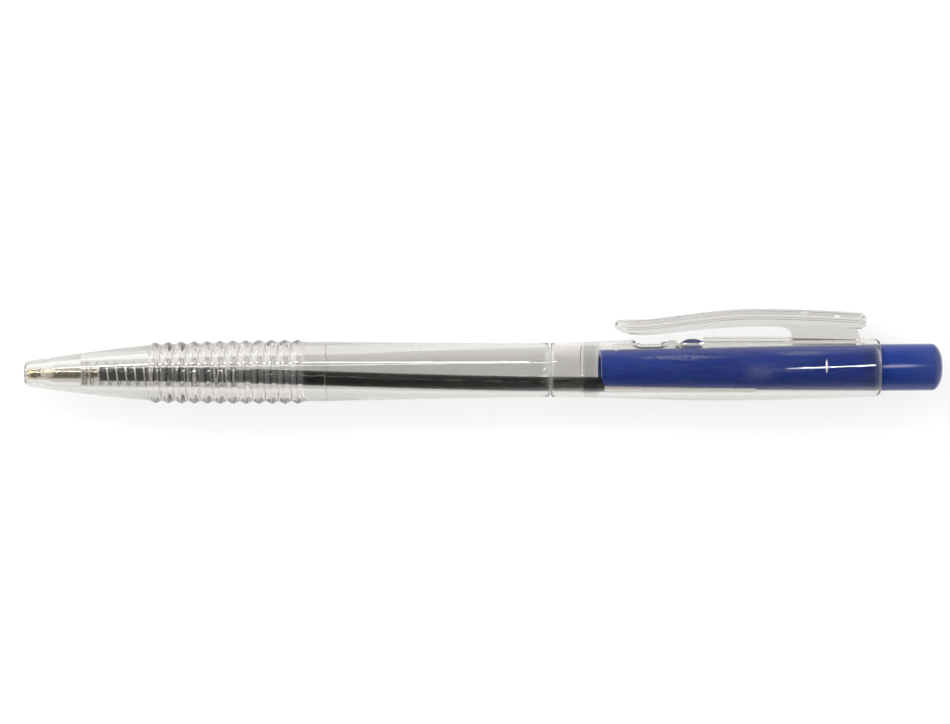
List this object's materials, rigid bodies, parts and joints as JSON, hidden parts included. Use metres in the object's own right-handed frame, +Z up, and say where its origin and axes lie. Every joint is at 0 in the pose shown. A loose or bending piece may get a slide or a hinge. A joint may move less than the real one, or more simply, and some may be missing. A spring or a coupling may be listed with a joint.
{
  "type": "retractable ball pen",
  "caption": "Slim click pen lying on its side: clear ribbed barrel with moulded pocket clip, push plunger with latch tongue, coil spring and bent refill.",
  "frame": {"origin": "on the surface that the pen lies on, under the middle of its bounding box", "axes": "+X along the pen from the nose to the button, +Y toward the pocket clip, +Z up from the surface"},
  "size_m": [0.145, 0.0144, 0.0102],
  "materials": {
    "clear_plastic": "clear polished moulding with fine scratches",
    "blue_plastic": "opaque blue moulding, satin",
    "spring_steel": "bright drawn wire",
    "tube_plastic": "clear extruded tube",
    "ink": "dark liquid ink",
    "tip_brass": "turned brass",
    "ball_metal": "polished hard metal"
  },
  "bodies": {
    "barrel": {"front_barrel": "clear_plastic", "rear_barrel": "clear_plastic", "return_spring": "spring_steel"},
    "push_unit": {"plunger": "blue_plastic", "refill_tube": "tube_plastic", "ink_column": "ink", "writing_tip": "tip_brass"},
    "latch": {"latch_tongue": "blue_plastic"},
    "ball": {"tip_ball": "ball_metal"}
  },
  "joints": [
    {"name": "button_slide", "type": "slide", "parent": "barrel", "child": "push_unit", "axis": [-1, 0, 0], "range_m": [0, 0.007], "stiffness_N_per_m": 120, "springref_m": -0.01, "deforming": ["return_spring", "latch_tongue"]},
    {"name": "latch_press", "type": "hinge", "parent": "push_unit", "child": "latch", "pos_m": [0.0212, 0.00054, 0.00508], "axis": [0, 0, -1], "range_deg": [0, 4], "stiffness_Nm_per_rad": 0.2},
    {"name": "ball_roll", "type": "hinge", "parent": "push_unit", "child": "ball", "pos_m": [-0.0714, -0.00216, 0.00508], "axis": [0, 0, 1], "continuous": true}
  ]
}
